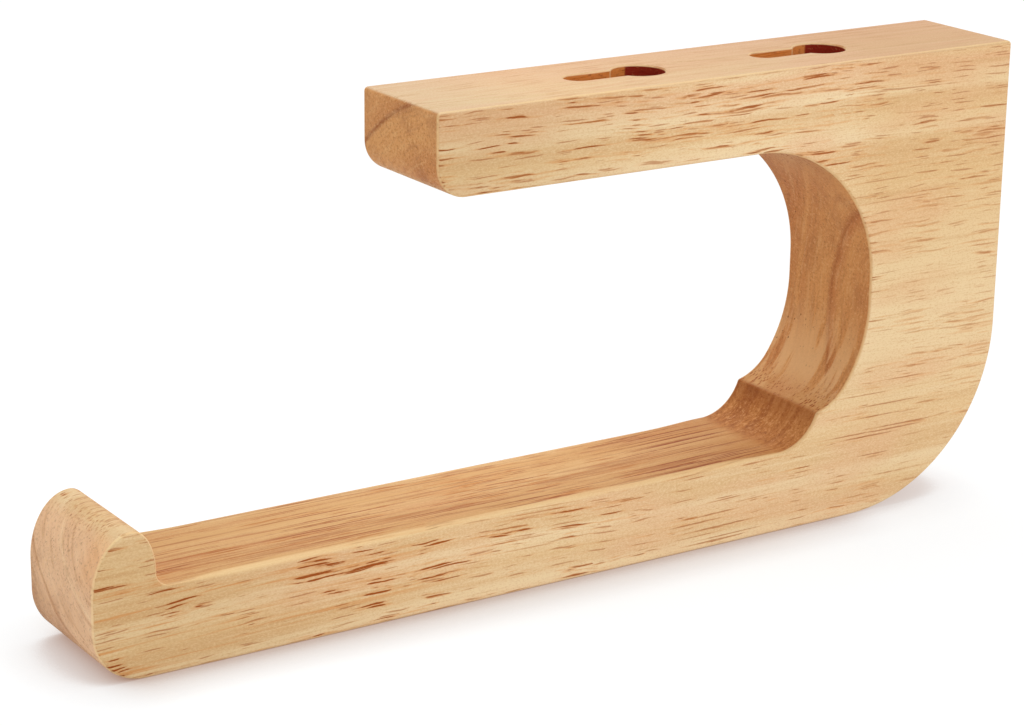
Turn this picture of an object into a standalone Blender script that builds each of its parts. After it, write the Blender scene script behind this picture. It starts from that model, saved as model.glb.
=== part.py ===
"""Wooden toilet roll holder, cut from one board.

Metres, +Z up.  The holder stands on the flat underside of its long lower arm.
+X runs along the arms towards the bridge, and the two flat faces of the board
look along -Y and +Y.  The origin is the centre of the footprint, at the bottom.
"""

import math

import bmesh
import bpy
from mathutils import Matrix, Vector

# The board
LENGTH = 0.1730
DEPTH = 0.0224
HEIGHT = 0.0800

# The two arms and the bridge that joins them
UPPER_ARM_LENGTH = 0.1143
UPPER_ARM_THICKNESS = 0.0136
LOWER_ARM_THICKNESS = 0.0141
BRIDGE_WIDTH = 0.0285
OUTER_CORNER_RADIUS = 0.0305
UPPER_ARM_NOSE_RADIUS = 0.0052

# The gap between the arms ends in two large rounds.  The lower one goes over into a tighter
# bend, whose lowest level stays above the lower arm's flat top by a step.
GAP_ROUND_RADIUS = 0.0244
GAP_BEND_RADIUS = 0.0100
GAP_BEND_STEP = 0.0055
GAP_BEND_DEGREES = 35

# The scoop is the smaller round where the lower arm's flat top meets the bridge
SCOOP_RADIUS = 0.0084
SCOOP_INSET = 0.0100

# The raised lip at the free end of the lower arm
LIP_HEIGHT = 0.0234
LIP_WIDTH = 0.0106
LIP_OUTER_WIDTH = 0.0068
LIP_OUTER_DROP = 0.0100
LIP_INNER_DROP = 0.0068
LIP_FOOT_RADIUS = 0.0020
HEEL_RADIUS = 0.0084

# Rounding of the edges where the outline meets the flat faces.  It is larger along the
# lower arm's flat top, and grows and fades there over a short stretch at each end.
EASED_EDGE = 0.0005
ARM_EDGE_ROUND = 0.0015
ARM_EDGE_FADE = 0.0120
FADE_STEPS = 8
EDGE_SEGMENTS = 3

# The two keyholes in the wall face
KEYHOLE_COUNT = 2
KEYHOLE_FROM_END = 0.0329
KEYHOLE_SPACING = 0.0370
KEYHOLE_HEAD_DIAMETER = 0.0088
KEYHOLE_NECK_WIDTH = 0.0048
KEYHOLE_TRAVEL = 0.0116
KEYHOLE_NECK_DEPTH = 0.0030
KEYHOLE_TOTAL_DEPTH = 0.0070
CUT_OVERRUN = 0.0010

# How finely round stretches are divided, how far two faces turn at a ridge and at a
# corner, and how near two points are when they count as one
ARC_STEP = math.radians(4.5)
RIDGE_ANGLE = math.radians(15)
CORNER_ANGLE = math.radians(70)
SAME_POINT = 0.000001

# Where the outline's flats lie
RIGHT_X = LENGTH / 2
LEFT_X = -LENGTH / 2
UPPER_ARM_END_X = RIGHT_X - UPPER_ARM_LENGTH
UPPER_ARM_UNDER_Z = HEIGHT - UPPER_ARM_THICKNESS
BRIDGE_FACE_X = RIGHT_X - BRIDGE_WIDTH
GAP_ROUND_X = BRIDGE_FACE_X - GAP_ROUND_RADIUS
SCOOP_X = BRIDGE_FACE_X - SCOOP_INSET - SCOOP_RADIUS
ARM_TOP_X = LEFT_X + LIP_WIDTH + LIP_FOOT_RADIUS

WOOD_COLOUR = (0.72, 0.50, 0.28, 1.0)
WOOD_ROUGHNESS = 0.55


def clear_scene():
    """Remove every object that the file starts with."""
    for obj in list(bpy.data.objects):
        bpy.data.objects.remove(obj, do_unlink=True)


def new_collection(name):
    collection = bpy.data.collections.new(name)
    bpy.context.scene.collection.children.link(collection)
    return collection


def arc(centre, radius, start_degrees, end_degrees, radius_z=None):
    """Points along a round stretch, both ends included.  radius_z makes it an ellipse."""
    radius_z = radius if radius_z is None else radius_z
    start = math.radians(start_degrees)
    sweep = math.radians(end_degrees) - start
    count = max(2, math.ceil(abs(sweep) / ARC_STEP))
    points = []
    for index in range(count + 1):
        angle = start + sweep * index / count
        points.append(Vector((centre.x + radius * math.cos(angle), centre.y + radius_z * math.sin(angle))))
    return points


def right_hand_crossing(centre_a, radius_a, centre_b, radius_b):
    """The right-hand one of the two points where two circles cross."""
    between = centre_b - centre_a
    distance = between.length
    along = (radius_a ** 2 - radius_b ** 2 + distance ** 2) / (2 * distance)
    across = math.sqrt(radius_a ** 2 - along ** 2)
    direction = between / distance
    middle = centre_a + direction * along
    side = Vector((direction.y, -direction.x)) * across
    return max(middle + side, middle - side, key=lambda point: point.x)


def angle_of(point, centre):
    offset = point - centre
    return math.degrees(math.atan2(offset.y, offset.x))


def holder_outline():
    """The board's outline in X and Z, clockwise from the upper arm's free end."""
    scoop_centre = Vector((SCOOP_X, LOWER_ARM_THICKNESS + SCOOP_RADIUS))
    inwards = Vector((math.cos(math.radians(GAP_BEND_DEGREES)), -math.sin(math.radians(GAP_BEND_DEGREES))))
    bend_offset = inwards * (GAP_ROUND_RADIUS - GAP_BEND_RADIUS)
    bend_centre = Vector((GAP_ROUND_X + bend_offset.x, LOWER_ARM_THICKNESS + GAP_BEND_STEP + GAP_BEND_RADIUS))
    low_round = bend_centre - bend_offset
    high_round = Vector((GAP_ROUND_X, UPPER_ARM_UNDER_Z - GAP_ROUND_RADIUS))
    ridge = right_hand_crossing(scoop_centre, SCOOP_RADIUS, bend_centre, GAP_BEND_RADIUS)
    outer_corner = Vector((RIGHT_X - OUTER_CORNER_RADIUS, OUTER_CORNER_RADIUS))
    heel = Vector((LEFT_X + HEEL_RADIUS, HEEL_RADIUS))
    lip_outer = Vector((LEFT_X + LIP_OUTER_WIDTH, LIP_HEIGHT - LIP_OUTER_DROP))
    lip_inner = Vector((LEFT_X + LIP_OUTER_WIDTH, LIP_HEIGHT - LIP_INNER_DROP))
    lip_foot = Vector((ARM_TOP_X, LOWER_ARM_THICKNESS + LIP_FOOT_RADIUS))
    nose = Vector((UPPER_ARM_END_X + UPPER_ARM_NOSE_RADIUS, UPPER_ARM_UNDER_Z + UPPER_ARM_NOSE_RADIUS))

    points = [Vector((UPPER_ARM_END_X, HEIGHT)), Vector((RIGHT_X, HEIGHT))]
    points += arc(outer_corner, OUTER_CORNER_RADIUS, 0, -90)
    points += arc(heel, HEEL_RADIUS, -90, -180)
    points += arc(lip_outer, LIP_OUTER_WIDTH, 180, 90, radius_z=LIP_OUTER_DROP)
    points += arc(lip_inner, LIP_WIDTH - LIP_OUTER_WIDTH, 90, 0, radius_z=LIP_INNER_DROP)
    points += arc(lip_foot, LIP_FOOT_RADIUS, 180, 270)
    points += arm_top_stops()
    points += arc(scoop_centre, SCOOP_RADIUS, -90, angle_of(ridge, scoop_centre))
    points += arc(bend_centre, GAP_BEND_RADIUS, angle_of(ridge, bend_centre), -GAP_BEND_DEGREES)
    points += arc(low_round, GAP_ROUND_RADIUS, -GAP_BEND_DEGREES, 0)
    points += arc(high_round, GAP_ROUND_RADIUS, 0, 90)
    points += arc(nose, UPPER_ARM_NOSE_RADIUS, -90, -180)
    return without_repeats(points)


def arm_top_stops():
    """Points along the lower arm's flat top where the rounding of its edges changes."""
    fade = [ARM_EDGE_FADE * index / FADE_STEPS for index in range(1, FADE_STEPS + 1)]
    stops = [ARM_TOP_X + distance for distance in fade]
    stops += [SCOOP_X - distance for distance in reversed(fade)]
    return [Vector((place_x, LOWER_ARM_THICKNESS)) for place_x in stops]


def keyhole_outline():
    """A round entry hole with a narrow slot towards -X, centred on the entry hole."""
    head = Vector((0, 0))
    slot_end = Vector((-KEYHOLE_TRAVEL, 0))
    head_radius = KEYHOLE_HEAD_DIAMETER / 2
    neck_radius = KEYHOLE_NECK_WIDTH / 2
    half_opening = math.degrees(math.asin(neck_radius / head_radius))
    points = arc(head, head_radius, -180 + half_opening, 180 - half_opening)
    points += arc(slot_end, neck_radius, 90, 270)
    return without_repeats(points)


def head_path_outline():
    """The wider path that a screw head takes under the neck, centred on the entry hole."""
    head_radius = KEYHOLE_HEAD_DIAMETER / 2
    points = arc(Vector((0, 0)), head_radius, -90, 90)
    points += arc(Vector((-KEYHOLE_TRAVEL, 0)), head_radius, 90, 270)
    return without_repeats(points)


def without_repeats(points):
    kept = []
    for point in points:
        if not kept or (point - kept[-1]).length > SAME_POINT:
            kept.append(point)
    if (kept[0] - kept[-1]).length <= SAME_POINT:
        kept.pop()
    return kept


def slab(name, points, thickness, matrix, collection):
    """A closed mesh from a flat outline, with its thickness centred on the outline's plane."""
    curve = bpy.data.curves.new(name + "_outline", "CURVE")
    curve.dimensions = "2D"
    curve.fill_mode = "BOTH"
    curve.extrude = thickness / 2
    spline = curve.splines.new("POLY")
    spline.points.add(len(points) - 1)
    for place, point in zip(spline.points, points):
        place.co = (point.x, point.y, 0, 1)
    spline.use_cyclic_u = True
    guide = bpy.data.objects.new(name + "_outline", curve)
    guide.matrix_world = matrix
    collection.objects.link(guide)
    bpy.context.view_layer.update()

    depsgraph = bpy.context.evaluated_depsgraph_get()
    mesh = bpy.data.meshes.new_from_object(guide.evaluated_get(depsgraph))
    mesh.name = name
    edit = bmesh.new()
    edit.from_mesh(mesh)
    bmesh.ops.remove_doubles(edit, verts=edit.verts, dist=SAME_POINT)
    bmesh.ops.recalc_face_normals(edit, faces=edit.faces)
    edit.normal_update()
    caps = [face for face in edit.faces if abs(face.normal.z) > math.cos(CORNER_ANGLE)]
    bmesh.ops.dissolve_faces(edit, faces=caps)
    edit.to_mesh(mesh)
    edit.free()

    body = bpy.data.objects.new(name, mesh)
    body.matrix_world = matrix.copy()
    bpy.data.objects.remove(guide, do_unlink=True)
    bpy.data.curves.remove(curve)
    collection.objects.link(body)
    return body


def wood_material():
    material = bpy.data.materials.new("pale_hardwood")
    material.use_nodes = True
    shader = material.node_tree.nodes["Principled BSDF"]
    shader.inputs["Base Color"].default_value = WOOD_COLOUR
    shader.inputs["Roughness"].default_value = WOOD_ROUGHNESS
    shader.inputs["Metallic"].default_value = 0.0
    material.diffuse_color = WOOD_COLOUR
    return material


def edge_rounding(places):
    """The rounding of a corner edge between two places: larger along the lower arm's flat top."""
    if any(abs(place.z - LOWER_ARM_THICKNESS) > SAME_POINT for place in places):
        return EASED_EDGE
    from_lip = min(place.x for place in places) - ARM_TOP_X
    from_scoop = SCOOP_X - max(place.x for place in places)
    growth = min(max(min(from_lip, from_scoop) / ARM_EDGE_FADE, 0), 1)
    return EASED_EDGE + growth * (ARM_EDGE_ROUND - EASED_EDGE)


def weigh_edges(body):
    """Give each corner edge its rounding, as a share of the largest one, and keep ridges sharp."""
    largest = max(EASED_EDGE, ARM_EDGE_ROUND)
    edit = bmesh.new()
    edit.from_mesh(body.data)
    weight = edit.edges.layers.float.new("bevel_weight_edge")
    for edge in edit.edges:
        turn = edge.calc_face_angle(0)
        if turn >= CORNER_ANGLE:
            edge[weight] = edge_rounding([body.matrix_world @ vert.co for vert in edge.verts]) / largest
        elif turn >= RIDGE_ANGLE:
            edge.smooth = False
    edit.to_mesh(body.data)
    edit.free()
    return largest


def round_edges(body):
    bevel = body.modifiers.new("rounded_edges", "BEVEL")
    bevel.width = weigh_edges(body)
    bevel.limit_method = "WEIGHT"
    bevel.segments = EDGE_SEGMENTS
    bevel.use_clamp_overlap = False


def keyhole_cutters(index, collection):
    """The neck with its entry hole, and the head's path below it."""
    place_x = RIGHT_X - KEYHOLE_FROM_END - index * KEYHOLE_SPACING
    neck_height = KEYHOLE_NECK_DEPTH + 2 * CUT_OVERRUN
    neck_middle = HEIGHT + CUT_OVERRUN - neck_height / 2
    neck = slab("keyhole_neck_cutter_%d" % (index + 1), keyhole_outline(), neck_height,
                Matrix.Translation((place_x, 0, neck_middle)), collection)
    path_height = KEYHOLE_TOTAL_DEPTH - KEYHOLE_NECK_DEPTH
    path_middle = HEIGHT - KEYHOLE_NECK_DEPTH - path_height / 2
    path = slab("keyhole_head_cutter_%d" % (index + 1), head_path_outline(), path_height,
                Matrix.Translation((place_x, 0, path_middle)), collection)
    return [neck, path]


def cut(body, cutter):
    cutter.hide_render = True
    cutter.display_type = "WIRE"
    boolean = body.modifiers.new(cutter.name, "BOOLEAN")
    boolean.operation = "DIFFERENCE"
    boolean.solver = "EXACT"
    boolean.object = cutter


def build_holder():
    parts = new_collection("toilet_roll_holder")
    cutters = new_collection("cutters")
    upright = Matrix.Rotation(math.radians(90), 4, "X")
    body = slab("holder_body", holder_outline(), DEPTH, upright, parts)
    body.data.materials.append(wood_material())
    body.data.shade_smooth()
    round_edges(body)
    for index in range(KEYHOLE_COUNT):
        for cutter in keyhole_cutters(index, cutters):
            cut(body, cutter)
    shading = body.modifiers.new("flat_faces_stay_flat", "WEIGHTED_NORMAL")
    shading.keep_sharp = True
    return body


clear_scene()
build_holder()
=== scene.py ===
"""The looks of a wooden toilet roll holder, cut from one board of pale hardwood.

Metres, +Z up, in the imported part's frame.  +X runs along both arms towards the bridge, the
board's two flat faces look along -Y and +Y, and the long lower arm stands on the floor.
"""

import math

import bmesh
import bpy
from mathutils import Matrix, Vector


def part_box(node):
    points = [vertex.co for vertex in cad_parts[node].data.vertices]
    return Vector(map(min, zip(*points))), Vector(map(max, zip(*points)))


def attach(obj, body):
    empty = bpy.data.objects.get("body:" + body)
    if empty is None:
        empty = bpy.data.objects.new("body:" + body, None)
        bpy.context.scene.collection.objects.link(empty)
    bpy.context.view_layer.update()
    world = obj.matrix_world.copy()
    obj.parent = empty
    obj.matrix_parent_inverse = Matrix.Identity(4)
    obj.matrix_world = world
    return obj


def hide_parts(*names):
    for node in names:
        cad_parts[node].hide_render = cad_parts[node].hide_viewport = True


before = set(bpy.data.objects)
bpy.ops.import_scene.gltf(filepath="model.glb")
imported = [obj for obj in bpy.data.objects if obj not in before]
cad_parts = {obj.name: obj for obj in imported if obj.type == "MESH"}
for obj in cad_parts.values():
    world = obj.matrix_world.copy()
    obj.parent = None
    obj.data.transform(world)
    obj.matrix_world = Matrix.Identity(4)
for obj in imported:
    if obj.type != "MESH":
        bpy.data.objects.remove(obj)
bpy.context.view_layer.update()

# The board's own box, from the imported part
BOARD_LOW, BOARD_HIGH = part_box("holder_body")
LEFT_X = BOARD_LOW.x
RIGHT_X = BOARD_HIGH.x
HEIGHT = BOARD_HIGH.z
HALF_DEPTH = (BOARD_HIGH.y - BOARD_LOW.y) / 2

# The two arms and the bridge that joins them
UPPER_ARM_LENGTH = 0.1143
UPPER_ARM_THICKNESS = 0.0136
LOWER_ARM_THICKNESS = 0.0141
BRIDGE_WIDTH = 0.0285
OUTER_CORNER_RADIUS = 0.0305
UPPER_ARM_NOSE_RADIUS = 0.0052

# The round end of the gap, and the scoop where the lower arm's flat top meets the bridge
GAP_ROUND_RADIUS = 0.0244
GAP_BEND_RADIUS = 0.0100
GAP_BEND_STEP = 0.0055
GAP_BEND_ANGLE = math.radians(35)
SCOOP_RADIUS = 0.0084
SCOOP_INSET = 0.0100

# The raised lip at the free end of the lower arm
LIP_HEIGHT = 0.0234
LIP_WIDTH = 0.0106
LIP_OUTER_WIDTH = 0.0068
LIP_OUTER_DROP = 0.0100
LIP_INNER_DROP = 0.0068
LIP_FOOT_RADIUS = 0.0020
HEEL_RADIUS = 0.0084

# Sanded edges
EASED_EDGE = 0.0005
ARM_EDGE_ROUND = 0.0015
ARM_EDGE_FADE = 0.0120
CORNER_ROUND = 0.0007
RIDGE_ROUND = 0.00065
EASED_STEPS = 5
FLAT_BORDER = 0.0001

# The keyholes in the wall face
KEYHOLE_COUNT = 2
KEYHOLE_FROM_END = 0.0329
KEYHOLE_SPACING = 0.0370
KEYHOLE_HEAD_RADIUS = 0.0044
KEYHOLE_NECK_RADIUS = 0.0024
KEYHOLE_TRAVEL = 0.0116
KEYHOLE_NECK_DEPTH = 0.0030
KEYHOLE_TOTAL_DEPTH = 0.0070
KEYHOLE_CORNER_ROUND = 0.0004
KEYHOLE_RIM_ROUND = 0.00025
KEYHOLE_RIM_STEPS = 3
CUT_OVERRUN = 0.0010

# How finely the surface is divided
ARC_STEP = math.radians(2)
STRAIGHT_STEP = 0.0020
SAME_PLACE = STRAIGHT_STEP / 1000
SHARP_ANGLE = math.radians(28)

# Where the outline's flats lie
UPPER_ARM_END_X = RIGHT_X - UPPER_ARM_LENGTH
UPPER_ARM_UNDER_Z = HEIGHT - UPPER_ARM_THICKNESS
BRIDGE_FACE_X = RIGHT_X - BRIDGE_WIDTH
GAP_ROUND_X = BRIDGE_FACE_X - GAP_ROUND_RADIUS
SCOOP_X = BRIDGE_FACE_X - SCOOP_INSET - SCOOP_RADIUS
ARM_TOP_X = LEFT_X + LIP_WIDTH + LIP_FOOT_RADIUS
CORNER_FOOT_X = RIGHT_X - OUTER_CORNER_RADIUS
HEEL_FOOT_X = LEFT_X + HEEL_RADIUS
ENTRY_X = RIGHT_X - KEYHOLE_FROM_END
ENTRY_MOUTH = math.sqrt(KEYHOLE_HEAD_RADIUS ** 2 - KEYHOLE_NECK_RADIUS ** 2)

# The wood's patterns are laid out in millimetres
MM = 1000

# The growth rings' common axis, as what to add to a place, how far they reach, and how finely the
# end grain's streaks follow them
RING_AXIS = (0, 19, -37.5)
RING_REACH = 52.0
RING_STREAKS = 60

# How far the routed colour reaches to either side of the keyholes' middle line, and the smallest
# pore as a share of its cell
ROUTED_SIDE = (6.5, 6.0)
SMALLEST_PORE = 0.01

# The wood's surface, and how strongly the end grain and the sanded edges show
SPECULAR_LEVEL = 0.2
ROUGHNESS = 0.52
ROUGHNESS_CHANGE = 0.15
RELIEF_STRENGTH = 0.6
RELIEF_DEPTH = 0.001
END_GRAIN_SHARE = 0.92
# The sanded edges' pale line is partly paler sanded wood and partly painted highlight
PALE_EDGE_AND_HIGHLIGHT_SHARE = 0.45


def beside(place, begins, full):
    """Where a change begins and where it is full, given in millimetres from a place in metres."""
    return (MM * place + begins, MM * place + full)


# Parts of the board with a finish of their own, along X, across Y and up Z.  Each pair says where
# the change begins and where it is full.  Those given beside a place follow the sizes above.  The
# others were chosen from the photograph.
RIDGE_Z = LOWER_ARM_THICKNESS + GAP_BEND_STEP
# Some of these parts carry painted shade or light rather than a finish: inside the gap, by the scoop's
# ridge, on the bend and in the keyholes
ZONES = {
    "gap_from": {"along": beside(ARM_TOP_X, -6.1, -3.1), "height": beside(LOWER_ARM_THICKNESS, -0.6, -0.1)},
    "gap_to": {"along": beside(BRIDGE_FACE_X, 8, 2), "height": beside(UPPER_ARM_UNDER_Z, 1.1, -0.4)},
    "arm_top": {"along": beside(SCOOP_X, 0.4, -5.6)},
    "scoop": {"along": beside(SCOOP_X, -1.6, 2.4), "height": beside(RIDGE_Z, 0.5, 0.1)},
    "scoop_ridge": {"height": beside(RIDGE_Z, -4.1, -0.1)},
    "gap_bend": {"along": beside(SCOOP_X, -1.6, 2.4), "height": (38, 22)},
    "towards_bridge": {"along": (0, 38)},
    "keyholes_from": {"along": (-24, -20), "height": beside(HEIGHT - KEYHOLE_TOTAL_DEPTH, -1, -0.5)},
    "keyholes_to": {"along": (80, 70), "height": beside(HEIGHT, -0.1, -0.4)},
    "wall_face": {"height": beside(HEIGHT, -0.5, -0.1)},
    "wall_right": {"along": (-40, 75)},
    "wall_left": {"along": (0, -25)},
    "upper_arm": {"height": (60, 66)},
    "upper_left": {"along": (30, -28), "height": (60, 66)},
    "bridge": {"along": (50, 62)},
    "bridge_high": {"height": (20, 45)},
    "bridge_low": {"along": (55, 62), "height": (60, 50)},
    "lower_right": {"along": (0, 25), "height": (28, 16)},
    "left": {"along": (-10, -40)},
    "foot": {"along": (-10, -50), "height": (20, 12)},
    "dark_foot": {"along": (-5, -45), "height": (16, 12)},
    "by_lip": {"along": (-68, -76), "height": (10, 14)},
    "towards_lip": {"along": (-10, -86), "height": (30, 18)},
    "lip_end": {"along": (20, 0), "height": (45, 30)},
    "lip_shoulder": {"along": (-78, -81), "across": (-4, -9), "height": (13, 18)},
    "right_half": {"along": (0, 20)},
    "back": {"across": (2, 9)},
}

# Light: an even world, a low soft key from the front right, a soft lamp above and behind, and a
# weak fill from the left
WORLD_STRENGTH = 0.50
KEY_STRENGTH = 1.33
KEY_SPREAD = math.radians(80)
KEY_FROM = (0.50, -1.00, 0.35)
TOP_STRENGTH = 1.22
TOP_SPREAD = math.radians(50)
TOP_FROM = (0.15, 0.50, 1.00)
FILL_STRENGTH = 0.45
FILL_SPREAD = math.radians(70)
FILL_FROM = (-1.00, -0.25, 0.30)

# The floor: its colour in the light, what the camera sees of it, and the shadow where the wood
# touches it.  The open and clear shares make that shadow lighter by the bridge, under the outer
# corner and beside the heel, to follow the photograph.
WHITE = (1.0, 1.0, 1.0, 1.0)
FLOOR_SIZE = 6.0
FLOOR_COLOUR = (0.82, 0.82, 0.82, 1.0)
FLOOR_SHADE = (0.46, 0.50, 0.52, 1.0)
FLOOR_GLOW = (0.61, 0.59, 0.58, 1.0)
OPEN_BRIDGE_SHARE = 0.60
OPEN_HEEL_SHARE = 0.55
CONTACT_SHADE = (0.30, 0.10, 0.02, 1.0)
CONTACT_REACH = 0.012
CONTACT_SAMPLES = 16
CONTACT_SHARE = 0.68
CONTACT_CORE = (0.3, 0.5)
CONTACT_CORE_SHARE = 0.22
CLEAR_CORNER_SHARE = 0.65
CLEAR_HEEL_SHARE = 0.50

# The camera, at the photograph's viewing angle
CAMERA_PLACE = Vector((-0.2448, -0.3666, 0.1723))
CAMERA_AZIMUTH = math.radians(-32.986)
CAMERA_ELEVATION = math.radians(17.497)
CAMERA_ROLL = math.radians(0.678)
CAMERA_LENS = 100.1
CAMERA_NEAR = 0.01
SENSOR_WIDTH = 36.0


class Stretch:
    """Places along the board's outline, each with the direction that looks out of the wood."""

    def __init__(self):
        self.places = []
        self.outwards = []

    def add(self, place, outward):
        if self.places and (place - self.places[-1]).length < SAME_PLACE:
            return
        self.places.append(place)
        self.outwards.append(outward)

    def run_to(self, place):
        """Intermediate places on a straight stretch, up to but not including its end."""
        start = self.places[-1]
        count = math.ceil((place - start).length / STRAIGHT_STEP)
        for index in range(1, count):
            self.add(start.lerp(place, index / count), self.outwards[-1])

    def bend(self, centre, radius, start, end, hollow=False, radius_z=None):
        """A round stretch, reached by a straight one.  A hollow one looks towards its centre."""
        radius_z = radius_z or radius
        count = max(3, math.ceil(abs(end - start) / ARC_STEP))
        for index in range(count + 1):
            angle = start + (end - start) * index / count
            place = centre + Vector((radius * math.cos(angle), radius_z * math.sin(angle)))
            outward = Vector((math.cos(angle) / radius, math.sin(angle) / radius_z)).normalized()
            if index == 0 and self.places:
                self.run_to(place)
            self.add(place, -outward if hollow else outward)

    def close(self):
        self.run_to(self.places[0])
        if (self.places[0] - self.places[-1]).length < SAME_PLACE:
            self.places.pop()
            self.outwards.pop()
        return self


def degrees(*angles):
    return [math.radians(angle) for angle in angles]


def crossing(centre_a, radius_a, centre_b, radius_b):
    """The right-hand one of the two points where two circles cross."""
    between = centre_b - centre_a
    along = (radius_a ** 2 - radius_b ** 2 + between.length_squared) / (2 * between.length)
    across = math.sqrt(radius_a ** 2 - along ** 2)
    direction = between.normalized()
    middle = centre_a + direction * along
    side = Vector((direction.y, -direction.x)) * across
    return max(middle + side, middle - side, key=lambda point: point.x)


def heading(start, end):
    return math.atan2(end.y - start.y, end.x - start.x)


def board_outline():
    """The board's outline in X and Z, clockwise from the upper arm's free end."""
    line = Stretch()
    corner = CORNER_ROUND
    line.bend(Vector((UPPER_ARM_END_X + corner, HEIGHT - corner)), corner, *degrees(180, 90))
    line.bend(Vector((RIGHT_X - corner, HEIGHT - corner)), corner, *degrees(90, 0))
    outer = OUTER_CORNER_RADIUS
    line.bend(Vector((CORNER_FOOT_X, outer)), outer, *degrees(0, -90))
    line.bend(Vector((HEEL_FOOT_X, HEEL_RADIUS)), HEEL_RADIUS, *degrees(-90, -180))
    lip_x = LEFT_X + LIP_OUTER_WIDTH
    line.bend(Vector((lip_x, LIP_HEIGHT - LIP_OUTER_DROP)), LIP_OUTER_WIDTH,
              *degrees(180, 90), radius_z=LIP_OUTER_DROP)
    line.bend(Vector((lip_x, LIP_HEIGHT - LIP_INNER_DROP)), LIP_WIDTH - LIP_OUTER_WIDTH,
              *degrees(90, 0), radius_z=LIP_INNER_DROP)
    line.bend(Vector((ARM_TOP_X, LOWER_ARM_THICKNESS + LIP_FOOT_RADIUS)), LIP_FOOT_RADIUS,
              *degrees(180, 270), hollow=True)

    scoop = Vector((SCOOP_X, LOWER_ARM_THICKNESS + SCOOP_RADIUS))
    inwards = Vector((math.cos(GAP_BEND_ANGLE), -math.sin(GAP_BEND_ANGLE)))
    offset = inwards * (GAP_ROUND_RADIUS - GAP_BEND_RADIUS)
    tight = Vector((GAP_ROUND_X + offset.x, LOWER_ARM_THICKNESS + GAP_BEND_STEP + GAP_BEND_RADIUS))
    low_round = tight - offset
    high_round = Vector((GAP_ROUND_X, UPPER_ARM_UNDER_Z - GAP_ROUND_RADIUS))
    ridge = crossing(scoop, SCOOP_RADIUS + RIDGE_ROUND, tight, GAP_BEND_RADIUS + RIDGE_ROUND)
    line.bend(scoop, SCOOP_RADIUS, math.radians(-90), heading(scoop, ridge), hollow=True)
    line.bend(ridge, RIDGE_ROUND, heading(ridge, scoop), heading(ridge, tight))
    line.bend(tight, GAP_BEND_RADIUS, heading(tight, ridge), -GAP_BEND_ANGLE, hollow=True)
    line.bend(low_round, GAP_ROUND_RADIUS, -GAP_BEND_ANGLE, 0, hollow=True)
    line.bend(high_round, GAP_ROUND_RADIUS, *degrees(0, 90), hollow=True)

    nose = UPPER_ARM_NOSE_RADIUS
    line.bend(Vector((UPPER_ARM_END_X + nose, UPPER_ARM_UNDER_Z + nose)), nose, *degrees(-90, -180))
    return line.close()


def keyhole_outline(place_x):
    """A keyhole's outline in X and Y: a round entry, and a narrow slot towards -X."""
    head = Vector((place_x, 0))
    slot_end = Vector((place_x - KEYHOLE_TRAVEL, 0))
    reach = KEYHOLE_HEAD_RADIUS + KEYHOLE_CORNER_ROUND
    rise = KEYHOLE_NECK_RADIUS + KEYHOLE_CORNER_ROUND
    back = math.sqrt(reach ** 2 - rise ** 2)
    half_opening = math.atan2(rise, back)
    line = Stretch()
    upper = head + Vector((-back, rise))
    lower = head + Vector((-back, -rise))
    line.bend(head, KEYHOLE_HEAD_RADIUS, -math.pi + half_opening, math.pi - half_opening)
    line.bend(upper, KEYHOLE_CORNER_ROUND, -half_opening, math.radians(-90), hollow=True)
    line.bend(slot_end, KEYHOLE_NECK_RADIUS, *degrees(90, 270))
    line.bend(lower, KEYHOLE_CORNER_ROUND, math.radians(90), half_opening, hollow=True)
    return line.close()


def head_path_outline(place_x):
    """The wider path that a screw's head takes under the neck."""
    line = Stretch()
    line.bend(Vector((place_x, 0)), KEYHOLE_HEAD_RADIUS, *degrees(-90, 90))
    line.bend(Vector((place_x - KEYHOLE_TRAVEL, 0)), KEYHOLE_HEAD_RADIUS, *degrees(90, 270))
    return line.close()


def edge_rounding(place):
    """The sanded rounding at a place on the outline: larger along the lower arm's flat top."""
    on_arm_top = abs(place.y - LOWER_ARM_THICKNESS) < EASED_EDGE
    if not on_arm_top or not ARM_TOP_X <= place.x <= SCOOP_X:
        return EASED_EDGE
    growth = min((place.x - ARM_TOP_X) / ARM_EDGE_FADE, (SCOOP_X - place.x) / ARM_EDGE_FADE, 1)
    growth = growth * growth * (3 - 2 * growth)
    return EASED_EDGE + growth * (ARM_EDGE_ROUND - EASED_EDGE)


def board_rings(line):
    """Closed rings of points from the front face, round its edge and over to the back face."""
    insets = []
    for index in range(EASED_STEPS + 1):
        angle = math.pi / 2 * index / EASED_STEPS
        insets.append((1 - math.sin(angle), 1 - math.cos(angle)))
    rings = []
    for side in (-1, 1):
        half = []
        for extra, (inward, across) in [(FLAT_BORDER, insets[0])] + [(0, step) for step in insets]:
            ring = []
            for place, outward in zip(line.places, line.outwards):
                size = edge_rounding(place)
                flat = place - outward * (size * inward + extra)
                ring.append(Vector((flat.x, side * (HALF_DEPTH - size * across), flat.y)))
            half.append(ring)
        rim = []
        for place in line.places:
            depth = HALF_DEPTH - edge_rounding(place) - FLAT_BORDER
            rim.append(Vector((place.x, side * depth, place.y)))
        half.append(rim)
        rings.extend(half if side < 0 else reversed(half))
    return rings


def mesh_from_rings(name, rings):
    """A closed mesh through rings of points, with its first and last ring filled."""
    edit = bmesh.new()
    loops = [[edit.verts.new(place) for place in ring] for ring in rings]
    for near, far in zip(loops, loops[1:]):
        for index, vert in enumerate(near):
            after = (index + 1) % len(near)
            edit.faces.new((vert, near[after], far[after], far[index]))
    edit.faces.new(loops[0])
    edit.faces.new(loops[-1])
    bmesh.ops.recalc_face_normals(edit, faces=edit.faces)
    mesh = bpy.data.meshes.new(name)
    edit.to_mesh(mesh)
    edit.free()
    piece = bpy.data.objects.new(name, mesh)
    bpy.context.scene.collection.objects.link(piece)
    return piece


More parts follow.
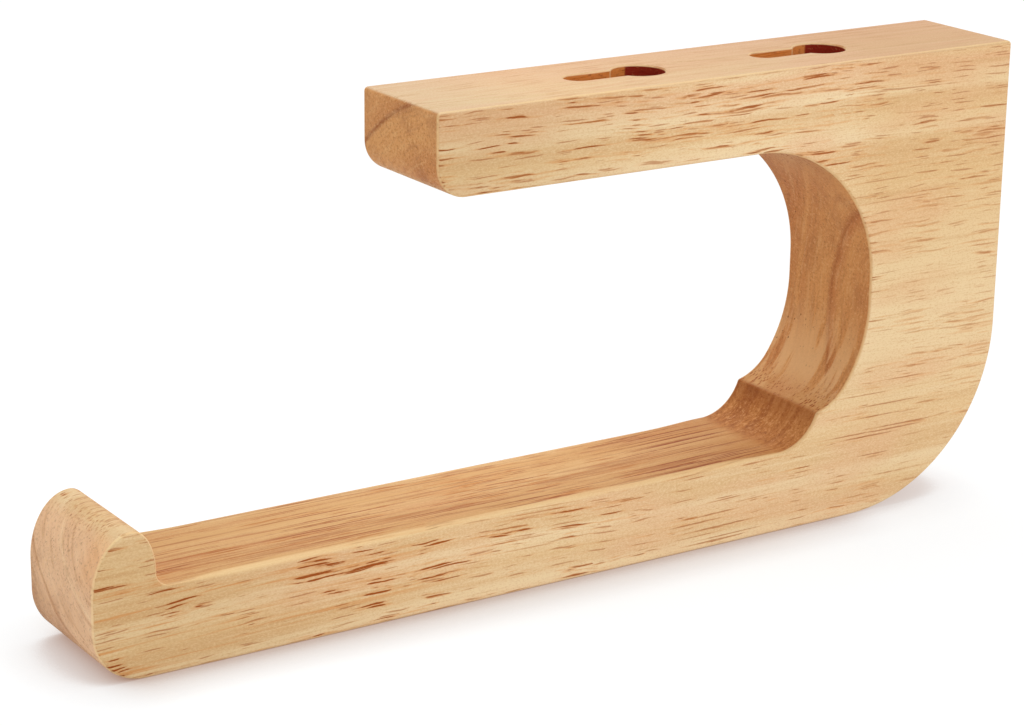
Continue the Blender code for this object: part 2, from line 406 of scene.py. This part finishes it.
def keyhole_cutters(index):
    """The neck with its softened rim, and the head's path below it."""
    place_x = ENTRY_X - index * KEYHOLE_SPACING
    line = keyhole_outline(place_x)
    levels = [(HEIGHT + CUT_OVERRUN, KEYHOLE_RIM_ROUND)]
    for step in range(KEYHOLE_RIM_STEPS + 1):
        angle = math.pi / 2 * step / KEYHOLE_RIM_STEPS
        levels.append((HEIGHT - KEYHOLE_RIM_ROUND * math.sin(angle),
                       KEYHOLE_RIM_ROUND * (1 - math.sin(angle))))
    levels.append((HEIGHT - KEYHOLE_NECK_DEPTH - CUT_OVERRUN, 0))
    rings = []
    for level, spread in levels:
        ring = [place + outward * spread for place, outward in zip(line.places, line.outwards)]
        rings.append([Vector((point.x, point.y, level)) for point in ring])
    path = head_path_outline(place_x)
    path_levels = (HEIGHT - KEYHOLE_NECK_DEPTH, HEIGHT - KEYHOLE_TOTAL_DEPTH)
    path_rings = [[Vector((point.x, point.y, level)) for point in path.places] for level in path_levels]
    return [mesh_from_rings("keyhole_neck_%d" % index, rings),
            mesh_from_rings("keyhole_path_%d" % index, path_rings)]


def cut(board, cutter):
    modifier = board.modifiers.new("cut", "BOOLEAN")
    modifier.operation = "DIFFERENCE"
    modifier.solver = "EXACT"
    modifier.object = cutter
    depsgraph = bpy.context.evaluated_depsgraph_get()
    mesh = bpy.data.meshes.new_from_object(board.evaluated_get(depsgraph))
    board.modifiers.clear()
    board.data = mesh
    bpy.data.objects.remove(cutter, do_unlink=True)


def holder_board():
    """The whole holder, with its sanded edges and its two keyholes."""
    board = mesh_from_rings("holder_board", board_rings(board_outline()))
    for index in range(KEYHOLE_COUNT):
        for cutter in keyhole_cutters(index):
            cut(board, cutter)
    board.data.shade_smooth()
    board.data.set_sharp_from_angle(angle=SHARP_ANGLE)
    return board


class Shade:
    """A shader socket that takes part in ordinary sums; every operation adds its own node."""

    def __init__(self, tree, socket=None):
        self.tree = tree
        self.socket = socket

    def add(self, kind, settings=None, inputs=None, output=0):
        """Add one node, make its settings, feed its sockets and hand back one of its outputs."""
        node = self.tree.nodes.new("ShaderNode" + kind)
        for name, value in (settings or {}).items():
            if name == "stops":
                set_stops(node.color_ramp, value)
            else:
                setattr(node, name, value)
        for name, value in (inputs or {}).items():
            if isinstance(value, Shade):
                self.tree.links.new(value.socket, node.inputs[name])
            else:
                node.inputs[name].default_value = value
        return Shade(self.tree, node.outputs[output])

    def maths(self, operation, *values):
        inputs = {index: value for index, value in enumerate(values)}
        return self.add("Math", {"operation": operation}, inputs)

    def vectors(self, operation, *values, output=0):
        inputs = {index: value for index, value in enumerate(values)}
        return self.add("VectorMath", {"operation": operation}, inputs, output)

    def __add__(self, other):
        return self.maths("ADD", self, other)

    __radd__ = __add__

    def __sub__(self, other):
        return self.maths("SUBTRACT", self, other)

    def __rsub__(self, other):
        return self.maths("SUBTRACT", other, self)

    def __mul__(self, other):
        return self.maths("MULTIPLY", self, other)

    __rmul__ = __mul__

    def __truediv__(self, other):
        return self.maths("DIVIDE", self, other)

    def __abs__(self):
        return self.maths("ABSOLUTE", self)

    def rise(self, low, high):
        """0 up to low and 1 from high on, with a smooth step between; it falls if low is above high."""
        settings = {"interpolation_type": "SMOOTHSTEP"}
        return self.add("MapRange", settings, {0: self, 1: low, 2: high})

    def larger(self, other):
        return self.maths("MAXIMUM", self, other)

    def wrapped(self, low, high):
        """This value brought between low and high by whole turns."""
        return self.maths("WRAP", self, high, low)

    def part(self, axis):
        return self.add("SeparateXYZ", inputs={0: self}, output="XYZ".index(axis))

    def stretched(self, x, y, z):
        return self.vectors("MULTIPLY", self, (x, y, z))

    def moved(self, other):
        return self.vectors("ADD", self, other)

    def length(self):
        return self.vectors("LENGTH", self, output=1)

    def painted(self, over, share, blend="MIX"):
        """This colour with another one over it, as far as the share goes."""
        settings = {"data_type": "RGBA", "blend_type": blend, "clamp_factor": True}
        return self.add("Mix", settings, {0: share, 6: self, 7: over}, output=2)

    def veined(self, over, pattern, begins, full, share):
        """This colour with another one over it, where a pattern goes past begins towards full."""
        return self.painted(over, pattern.rise(begins, full) * share)

    def grain(self, detail=3.0, roughness=0.5, output=0):
        """Noise at this place, with a scale of one."""
        return self.add("TexNoise", inputs={"Vector": self, "Scale": 1.0, "Detail": detail,
                                            "Roughness": roughness}, output=output)

    def shift(self, detail):
        """A smooth random shift at this place, up to half a unit either way on each axis."""
        return self.grain(detail, output="Color").moved((-0.5, -0.5, -0.5))

    def ramp(self, stops):
        return self.add("ValToRGB", {"stops": stops}, {0: self})


def set_stops(ramp, stops):
    """Give a colour ramp its stops, each a place and a colour."""
    while len(ramp.elements) < len(stops):
        ramp.elements.new(1.0)
    for element, (place, colour) in zip(ramp.elements, stops):
        element.position = place
        element.color = colour


def colour(red, green, blue):
    """A colour given as on a screen, 0 to 255, in the linear values that a shader takes."""
    linear = []
    for value in (red, green, blue):
        share = value / 255
        linear.append(share / 12.92 if share <= 0.04045 else ((share + 0.055) / 1.055) ** 2.4)
    return (*linear, 1.0)


def pores(place, ragged, length, width, largest, chosen):
    """Vessels cut open by the saw: long thin spindles along X, at most one in each cell.

    A cell is so long and so wide, and chosen is the share of the cells that hold a spindle.  Gives
    how deep a point lies: 1 on a spindle's middle line, 0 on its skin, and less outside.
    """
    cells = {"Vector": place.stretched(1 / length, 1 / width, 1 / width), "Scale": 1.0}
    distance = place.add("TexVoronoi", inputs=cells, output="Distance")
    chance = place.add("TexVoronoi", inputs=cells, output="Color").part("X")
    size = (chance - (1 - chosen)).rise(0, 0.6) * largest
    return 1 - distance / (size + SMALLEST_PORE) + ragged


class Timber:
    """Where a point lies on the board, in millimetres, and the patterns of the wood there."""

    def __init__(self, sheet):
        self.place = sheet.add("TexCoord", output="Object").stretched(MM, MM, MM)
        self.along, self.across, self.height = [self.place.part(axis) for axis in "XYZ"]
        normal = sheet.add("TexCoord", output="Normal")
        self.facing_up = normal.part("Z")
        self.end_grain = abs(normal.part("X")).rise(0.35, 0.90)
        flat_face = abs(normal.part("Y"))
        # The sanded edges, where a pale line goes: partly their paler wood, partly painted highlight
        self.rim = (4 * flat_face * (1 - flat_face)).rise(0.25, 0.95)
        self.inside_gap = (1 - flat_face) * self.zone("gap_from") * self.zone("gap_to")
        self.routed = (abs(self.across).rise(*ROUTED_SIDE)
                       * self.zone("keyholes_from") * self.zone("keyholes_to"))
        self.wall_face = self.zone("wall_face")
        self.bridge = self.zone("bridge")
        self.lower_right = self.zone("lower_right")

        # The grain runs along X and wanders a little.  The growth rings lie round a line along X.
        wander = self.place.stretched(0.012, 0.030, 0.030).shift(1.0)
        self.fibres = self.place.moved(wander.stretched(0, 4, 4))
        self.radius = self.fibres.moved(RING_AXIS).stretched(0, 1, 1).length() / RING_REACH

        self.streaks = self.fibres.stretched(0.014, 0.75, 0.75).grain(4.0, 0.6)
        self.fine_streaks = self.fibres.stretched(0.07, 4.0, 4.0).grain(3.0, 0.7)
        self.threads = self.fibres.stretched(0.018, 1.6, 1.6).grain(4.0, 0.7)
        self.bands = self.fibres.stretched(0.02, 0.5, 0.5).moved((1.3, 4.7, 2.9)).grain(3.0, 0.65)
        self.clouds = self.fibres.stretched(0.03, 0.12, 0.12).grain(2.0)
        self.mottle = self.place.stretched(2.4, 5.2, 5.2).grain(3.0, 0.8)
        self.patches = self.place.stretched(0.05, 0.45, 0.06).grain(3.0)
        self.torn = self.place.stretched(0.9, 1.8, 1.8).grain(4.0, 0.8)
        self.speckle = self.place.stretched(1.9, 1.9, 1.9).grain(4.0, 0.8)
        rings = sheet.add("CombineXYZ", inputs={0: self.radius * RING_STREAKS})
        self.ring_streaks = rings.moved(self.place.stretched(0.10, 0.12, 0.12)).grain(3.0, 0.6)
        self.find_pores()

    def zone(self, name):
        """1 inside a named part of the board, 0 outside it, and a smooth step in between."""
        axes = {"along": self.along, "across": self.across, "height": self.height}
        rises = [axes[axis].rise(*pair) for axis, pair in ZONES[name].items()]
        return math.prod(rises[1:], start=rises[0])

    def find_pores(self):
        """Pores, clustered, with slightly ragged skins: large, small, and long fine ones.

        Few of the large ones lie in the right half of the lower arm, and those in the wall face are
        fainter.
        """
        bends = self.place.stretched(0.10, 0.40, 0.40).shift(2.0)
        bent = self.fibres.moved(bends.stretched(0, 1.2, 1.2))
        self.ragged = (self.place.stretched(0.6, 3.0, 3.0).grain(2.0, 0.6) - 0.5) * 0.9
        crowd = self.fibres.stretched(0.045, 0.16, 0.16).grain(1.0).rise(0.36, 0.62)
        lines = self.fibres.stretched(0.012, 0.07, 0.07).moved((7.3, 1.9, 4.2)).grain(1.0)
        upper = self.zone("upper_arm") * (1 - self.bridge)
        large_chosen = 0.30 + 0.55 * crowd + 0.2 * upper - 0.28 * self.lower_right
        small_chosen = 0.62 - 0.12 * self.lower_right
        long_chosen = (0.10 + 0.5 * lines.rise(0.45, 0.62) + 0.5 * self.inside_gap
                       + 0.3 * self.lower_right + 0.4 * self.zone("by_lip"))
        large = pores(bent, self.ragged, 12.0, 0.42, 0.42, large_chosen)
        small = pores(bent.moved((3.1, 0.7, 0.4)), self.ragged, 8.0, 0.34, 0.42, small_chosen)
        long = pores(self.fibres.moved((1.7, 0.3, 0.9)), self.ragged, 34.0, 0.44, 0.40, long_chosen)

        sanded = 1 - 0.7 * self.wall_face
        calm = 1 - 0.4 * self.zone("bridge_low")
        halo = large.rise(-0.9, 0.3) * 0.55 + small.rise(-0.5, 0.3) * 0.3 + long.rise(-0.5, 0.3) * 0.3
        self.halo = halo * sanded
        self.large = large.rise(0, 0.4) * sanded * calm
        self.small = small.rise(0, 0.45) * sanded * calm
        self.long = long.rise(0, 0.5)


def plain_wood(timber):
    """Growth rings, streaks and a fine mottle."""
    base = timber.radius.ramp(RING_COLOURS)
    base = base.veined(TAN, timber.streaks, 0.50, 0.74, 0.45)
    base = base.veined(PALE, timber.streaks, 0.48, 0.24, 0.60)
    base = base.veined(PINK, timber.clouds, 0.48, 0.66, 0.60)
    base = base.veined(TAN, timber.fine_streaks, 0.50, 0.75, 0.40)
    base = base.veined(PALE, timber.mottle, 0.49, 0.66, 0.55)
    return base.veined(TAN, timber.mottle, 0.50, 0.34, 0.42)


def with_pores(base, timber):
    """Streaks in the foot, red and straw lines on the lower arm's top, and stained pores."""
    foot = timber.zone("foot")
    base = base.veined(HALO, timber.threads, 0.54, 0.66, foot * 0.75)
    base = base.veined(PALE, timber.threads, 0.46, 0.34, foot * 0.60)
    base = base.painted(HALO, timber.halo * (1 - 0.4 * timber.bridge))
    base = base.painted(PORE, timber.small * 0.50 * (1 - 0.5 * timber.inside_gap))

    arm_top = timber.inside_gap * timber.facing_up.rise(0.6, 0.9) * timber.zone("arm_top")
    base = base.veined(STRAW, timber.bands, 0.49, 0.37, arm_top * 0.85)
    base = base.veined(RED_LINE, timber.bands, 0.54, 0.66, arm_top * 0.45)
    base = base.veined(RED_LINE, timber.threads, 0.52, 0.66, arm_top * 0.60)
    base = base.veined(STRAW, timber.threads, 0.44, 0.30, arm_top * 0.50)

    long_share = 0.40 + 0.40 * timber.inside_gap + 0.20 * timber.lower_right
    base = base.painted(PORE, timber.long * long_share)
    deepest = timber.fibres.stretched(0.08, 1.5, 1.5).moved((2.2, 5.1, 3.3)).grain(1.0)
    large_share = (0.52 + 0.40 * deepest.rise(0.42, 0.60) + 0.28 * timber.zone("dark_foot")
                   + 0.28 * timber.zone("left") - 0.30 * timber.bridge)
    return base.painted(PORE, timber.large * large_share * (1 - 0.75 * arm_top))


def with_tints(base, timber):
    """Broad tone shifts in the bridge, on the wall face and at the left ends; painted shade in the gap."""
    bridge_share = timber.bridge * (0.30 + 0.70 * timber.zone("bridge_high"))
    base = base.painted(BRIDGE_TINT, bridge_share, "MULTIPLY")
    # Painted shade inside the gap: warm from light bounced off the wood, and deeper towards the bridge
    gap_shade = base.painted(GAP_SHADE_TINT, 1.0, "MULTIPLY")
    gap_shade = gap_shade.painted(GAP_DEEP_SHADE_TINT, timber.zone("towards_bridge"), "MULTIPLY")
    base = base.painted(gap_shade, timber.inside_gap)

    wall_face = timber.wall_face
    base = base.veined(PINK, timber.threads, 0.48, 0.64, wall_face * 0.55)
    base = base.veined(TAN, timber.threads, 0.60, 0.74, wall_face * 0.40)
    base = base.painted(WALL_TINT, wall_face * timber.zone("wall_right"), "MULTIPLY")
    base = base.painted(WALL_END_TINT, wall_face * timber.zone("wall_left"), "MULTIPLY")
    dull = 0.9 * timber.zone("upper_left") * (1 - wall_face) + timber.zone("towards_lip")
    return base.painted(DULL_TINT, dull, "MULTIPLY")


def end_wood(timber):
    """End grain takes up more oil: deeper colour, ring lines, and a fine light and dark speckle."""
    lip_end = timber.zone("lip_end")
    other_ends = 1 - lip_end
    deep = timber.radius.ramp(END_RINGS).painted(timber.radius.ramp(LIP_RINGS), lip_end)
    deep = deep.veined(END_DARK, timber.clouds, 0.46, 0.70, 0.30)
    deep = deep.veined(LIP_LINE, timber.ring_streaks, 0.52, 0.66, lip_end * 0.50)
    deep = deep.veined(LIP_PALE, timber.ring_streaks, 0.48, 0.34, lip_end * 0.40)
    deep = deep.veined(END_DARK, timber.ring_streaks, 0.54, 0.68, other_ends * 0.22)
    deep = deep.veined(LIGHT_SPECK, timber.ring_streaks, 0.46, 0.34, other_ends * 0.22)
    deep = deep.veined(DARK_SPECK, timber.speckle, 0.54, 0.66, 0.45)
    deep = deep.veined(LIGHT_SPECK, timber.speckle, 0.46, 0.34, 0.50)
    deep = deep.painted(DARK_SPECK, timber.large * 0.10)

    bend = timber.inside_gap * timber.zone("gap_bend")
    # Pale streaks on the tight bend: painted light where the bend faces up, laid in the grain's patches
    deep = deep.veined(BEND_PAINTED_LIGHT, timber.patches, 0.55, 0.46, bend * 0.85)
    deep = deep.veined(END_DARK, timber.patches, 0.52, 0.62, bend * 0.35)
    dots = pores(timber.place, timber.ragged, 1.5, 0.8, 0.36, 0.45).rise(0, 0.5)
    dots_share = timber.zone("right_half") * (0.30 + 0.60 * timber.zone("back"))
    deep = deep.painted(DARK_SPECK, dots * dots_share)
    return deep.painted(SHOULDER_TINT, timber.zone("lip_shoulder"), "MULTIPLY")


def with_scoop(base, timber):
    """The cutter left the scoop rougher; its darker tone is partly painted shade, deepest by the ridge."""
    scoop = timber.inside_gap * timber.zone("scoop")
    ridge_shade = timber.zone("scoop_ridge")
    # The scoop's darker tone: partly its own torn wood, partly painted shade
    base = base.painted(SCOOP_TONE_AND_SHADE, scoop * 0.88)
    # Painted shade next to the ridge, over darker patches of grain
    base = base.painted(SCOOP_DARK, scoop * (timber.patches.rise(0.44, 0.62) * 0.36 + ridge_shade * 0.28))
    base = base.veined(SCOOP_DARK, timber.torn, 0.52, 0.64, scoop * 0.62)
    return base.veined(SCOOP_PALE, timber.torn, 0.47, 0.37, scoop * (1 - 0.8 * ridge_shade) * 0.55)


def with_keyholes(base, timber):
    """Orange brown walls in the slots, and painted shade, deep red brown, on the entries' right halves.

    The floors are brown painted shade, and a pale painted highlight shows where a slot opens into its
    entry.
    """
    half_spacing = MM * KEYHOLE_SPACING / 2
    from_entry = (timber.along - MM * ENTRY_X).wrapped(-half_spacing, half_spacing)
    hole_wall = timber.facing_up.rise(0.9, 0.5)
    routed_with_shade = base.painted(ROUTED_WALL, 0.90)
    routed_with_shade = routed_with_shade.veined(ROUTED_DARK, timber.torn, 0.52, 0.66, 0.55)
    # Painted shade: a brown floor at the bottom of each keyhole
    routed_with_shade = routed_with_shade.painted(KEYHOLE_FLOOR_SHADE, 1 - hole_wall)
    # Painted shade: deep red brown on the right half of each entry's wall
    routed_with_shade = routed_with_shade.veined(ROUTED_DEEP_SHADE, from_entry, 0.2, 0.7, hole_wall * 0.95)
    routed_with_shade = routed_with_shade.veined(SCOOP_PALE, timber.torn, 0.42, 0.30, 0.30)
    # Painted highlight: a pale line where a slot opens into its entry
    routed_with_shade = routed_with_shade.veined(PALE_EDGE_AND_HIGHLIGHT, abs(from_entry + MM * ENTRY_MOUTH), 0.30, 0.12, hole_wall * 0.55)
    return base.painted(routed_with_shade, timber.routed)


def wood():
    """One material for the whole board; its sanded edges get a paler line, partly painted highlight."""
    material = bpy.data.materials.new("pale_hardwood")
    material.use_nodes = True
    tree = material.node_tree
    sheet = Shade(tree)
    timber = Timber(sheet)
    base = with_pores(plain_wood(timber), timber)
    base = with_tints(base, timber)
    base = base.painted(end_wood(timber), timber.end_grain * END_GRAIN_SHARE)
    base = with_scoop(base, timber)
    base = with_keyholes(base, timber)
    # A paler line on the sanded edges: partly their paler sanded wood, partly painted highlight
    base = base.painted(PALE_EDGE_AND_HIGHLIGHT, timber.rim * (1 - timber.routed) * PALE_EDGE_AND_HIGHLIGHT_SHARE)
    roughness = ROUGHNESS + ROUGHNESS_CHANGE * timber.streaks + ROUGHNESS_CHANGE * timber.large
    relief = timber.fine_streaks * 0.03 - timber.large * 0.08 - timber.small * 0.03 - timber.long * 0.03
    bump = sheet.add("Bump", inputs={"Strength": RELIEF_STRENGTH, "Distance": RELIEF_DEPTH,
                                     "Height": relief})

    shader = tree.nodes["Principled BSDF"]
    shader.inputs["Specular IOR Level"].default_value = SPECULAR_LEVEL
    tree.links.new(base.socket, shader.inputs["Base Color"])
    tree.links.new(roughness.socket, shader.inputs["Roughness"])
    tree.links.new(bump.socket, shader.inputs["Normal"])
    return material


def white_rays(sheet):
    """1 for the rays that see the white background: from the camera, mirrored or let through."""
    seen, mirrored, let_through = [sheet.add("LightPath", output="Is %s Ray" % kind)
                                   for kind in ("Camera", "Glossy", "Transmission")]
    return seen.larger(mirrored.larger(let_through))


def floor():
    """A plain white floor, with the lamps' soft shadow and a darker one where the wood is close."""
    bpy.ops.mesh.primitive_plane_add(size=FLOOR_SIZE)
    plane = bpy.context.object
    plane.name = "floor"
    material = bpy.data.materials.new("floor")
    material.use_nodes = True
    tree = material.node_tree
    shader = tree.nodes["Principled BSDF"]
    shader.inputs["Base Color"].default_value = FLOOR_COLOUR
    shader.inputs["Roughness"].default_value = 1.0
    shader.inputs["Specular IOR Level"].default_value = 0.0
    sheet = Shade(tree)
    along = sheet.add("TexCoord", output="Object").part("X")
    by_heel = along.rise(HEEL_FOOT_X, LEFT_X)

    shadow = sheet.add("BsdfDiffuse", inputs={"Color": FLOOR_SHADE})
    glow = sheet.add("Emission", inputs={"Color": FLOOR_GLOW})
    lit = sheet.add("AddShader", inputs={0: shadow, 1: glow})
    bright = sheet.add("Emission", inputs={"Color": WHITE})
    by_bridge = along.rise(BRIDGE_FACE_X - BRIDGE_WIDTH, BRIDGE_FACE_X)
    open_sides = OPEN_BRIDGE_SHARE * by_bridge + OPEN_HEEL_SHARE * by_heel
    lit = sheet.add("MixShader", inputs={0: open_sides, 1: lit, 2: bright})

    hidden = 1 - sheet.add("AmbientOcclusion", {"samples": CONTACT_SAMPLES},
                           {"Distance": CONTACT_REACH}, "AO")
    by_corner = along.rise(CORNER_FOOT_X - CONTACT_REACH / 2, CORNER_FOOT_X + CONTACT_REACH / 2)
    clear = CLEAR_CORNER_SHARE * by_corner + CLEAR_HEEL_SHARE * by_heel
    depth = CONTACT_SHARE * hidden * (1 - clear) + CONTACT_CORE_SHARE * hidden.rise(*CONTACT_CORE)
    contact = sheet.add("Emission", inputs={"Color": CONTACT_SHADE})
    both = sheet.add("MixShader", inputs={0: depth, 1: lit, 2: contact})

    plain = Shade(tree, shader.outputs[0])
    mixed = sheet.add("MixShader", inputs={0: white_rays(sheet), 1: plain, 2: both})
    tree.links.new(mixed.socket, tree.nodes["Material Output"].inputs["Surface"])
    plane.data.materials.append(material)


def world_light():
    """Even white light from all round, and a plain white background for the camera."""
    world = bpy.data.worlds.new("studio")
    world.use_nodes = True
    tree = world.node_tree
    seen = white_rays(Shade(tree))
    background = tree.nodes["Background"]
    background.inputs["Color"].default_value = WHITE
    strength = WORLD_STRENGTH + (1 - WORLD_STRENGTH) * seen
    tree.links.new(strength.socket, background.inputs["Strength"])
    bpy.context.scene.world = world


def lamp(name, strength, spread, came_from):
    """A broad soft light, given by where it comes from."""
    data = bpy.data.lights.new(name, "SUN")
    data.energy = strength
    data.angle = spread
    light = bpy.data.objects.new(name, data)
    light.rotation_euler = (-Vector(came_from)).to_track_quat("-Z", "Y").to_euler()
    bpy.context.scene.collection.objects.link(light)


def camera():
    azimuth, elevation = CAMERA_AZIMUTH, CAMERA_ELEVATION
    back = Vector((math.sin(azimuth) * math.cos(elevation),
                   -math.cos(azimuth) * math.cos(elevation),
                   math.sin(elevation)))
    data = bpy.data.cameras.new("photo_camera")
    data.lens = CAMERA_LENS
    data.sensor_width = SENSOR_WIDTH
    data.clip_start = CAMERA_NEAR
    viewer = bpy.data.objects.new("photo_camera", data)
    bpy.context.scene.collection.objects.link(viewer)
    turn = (-back).to_track_quat("-Z", "Y").to_matrix() @ Matrix.Rotation(CAMERA_ROLL, 3, "Z")
    viewer.matrix_world = Matrix.Translation(CAMERA_PLACE) @ turn.to_4x4()
    bpy.context.scene.camera = viewer


# The wood's colours.  A tint is multiplied with what is there, any other is laid over it.
PALE = colour(246, 220, 176)
STRAW = colour(236, 201, 150)
DARK_STRAW = colour(232, 195, 145)
TAN = colour(214, 166, 112)
PINK = colour(236, 190, 146)
HALO = colour(226, 158, 92)
PORE = colour(166, 84, 28)
# Painted shade inside the gap, warm, and deeper towards the bridge
GAP_SHADE_TINT = colour(243, 224, 199)
GAP_DEEP_SHADE_TINT = colour(229, 215, 196)
DULL_TINT = colour(233, 228, 219)
WALL_TINT = colour(234, 228, 231)
WALL_END_TINT = colour(243, 249, 255)
BRIDGE_TINT = colour(249, 244, 236)
SHOULDER_TINT = colour(252, 241, 228)
RED_LINE = colour(184, 116, 64)
END_DARK = colour(150, 84, 44)
DARK_SPECK = colour(130, 70, 34)
LIGHT_SPECK = colour(240, 196, 136)
# Painted light on the gap's tight bend
BEND_PAINTED_LIGHT = colour(232, 186, 132)
# The scoop's tone is partly painted shade
SCOOP_TONE_AND_SHADE = colour(186, 116, 50)
SCOOP_DARK = colour(136, 66, 18)
SCOOP_PALE = colour(226, 170, 108)
ROUTED_WALL = colour(222, 134, 54)
ROUTED_DARK = colour(150, 70, 30)
# Painted shade in the keyholes: the entries' right halves and the floors
ROUTED_DEEP_SHADE = colour(136, 15, 0)
KEYHOLE_FLOOR_SHADE = colour(158, 82, 36)
# A pale line on edges: partly paler sanded wood, partly painted highlight
PALE_EDGE_AND_HIGHLIGHT = colour(252, 222, 166)

# The growth rings, from their axis outwards, as shares of their reach: on the board's sides, on
# its ends, and on the lip's end, where the last stop is painted shade towards its foot
RING_COLOURS = [
    (0.15, PALE),
    (0.44, STRAW),
    (0.49, DARK_STRAW),
    (0.555, DARK_STRAW),
    (0.575, PALE),
    (0.64, STRAW),
    (0.66, DARK_STRAW),
    (0.69, DARK_STRAW),
    (0.71, PALE),
    (0.80, PINK),
    (0.84, STRAW),
    (1.0, PINK),
]
END_OCHRE = colour(220, 156, 92)
END_BROWN = colour(208, 140, 80)
END_RUST = colour(204, 132, 74)
END_LINE = colour(164, 94, 46)
END_EDGE = colour(184, 112, 58)
END_RINGS = [
    (0.15, END_BROWN),
    (0.300, END_OCHRE),
    (0.338, END_RUST),
    (0.350, END_EDGE),
    (0.372, END_OCHRE),
    (0.44, END_OCHRE),
    (0.51, END_BROWN),
    (0.53, END_OCHRE),
    (0.545, END_BROWN),
    (0.60, END_RUST),
    (0.70, END_BROWN),
    (0.76, END_OCHRE),
    (0.85, END_OCHRE),
    (0.862, END_LINE),
    (0.876, END_BROWN),
    (1.0, END_OCHRE),
]
LIP_PALE = colour(250, 212, 168)
LIP_PINK = colour(240, 194, 152)
LIP_LINE = colour(206, 150, 106)
# Painted shade towards the foot of the lip's end
LIP_FOOT_SHADE = colour(180, 128, 86)
LIP_RINGS = [
    (0.20, LIP_PALE),
    (0.42, LIP_PINK),
    (0.528, LIP_PINK),
    (0.538, LIP_PALE),
    (0.550, LIP_PINK),
    (0.682, LIP_PINK),
    (0.692, LIP_LINE),
    (0.704, LIP_PINK),
    # Painted shade: the lip's end darkens towards its foot
    (0.84, LIP_FOOT_SHADE),
]

board = holder_board()
board.data.materials.append(wood())
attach(board, "root")
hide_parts("holder_body")
floor()
world_light()
lamp("key", KEY_STRENGTH, KEY_SPREAD, KEY_FROM)
lamp("top", TOP_STRENGTH, TOP_SPREAD, TOP_FROM)
lamp("fill", FILL_STRENGTH, FILL_SPREAD, FILL_FROM)
camera()
bpy.context.scene.view_settings.view_transform = "Standard"
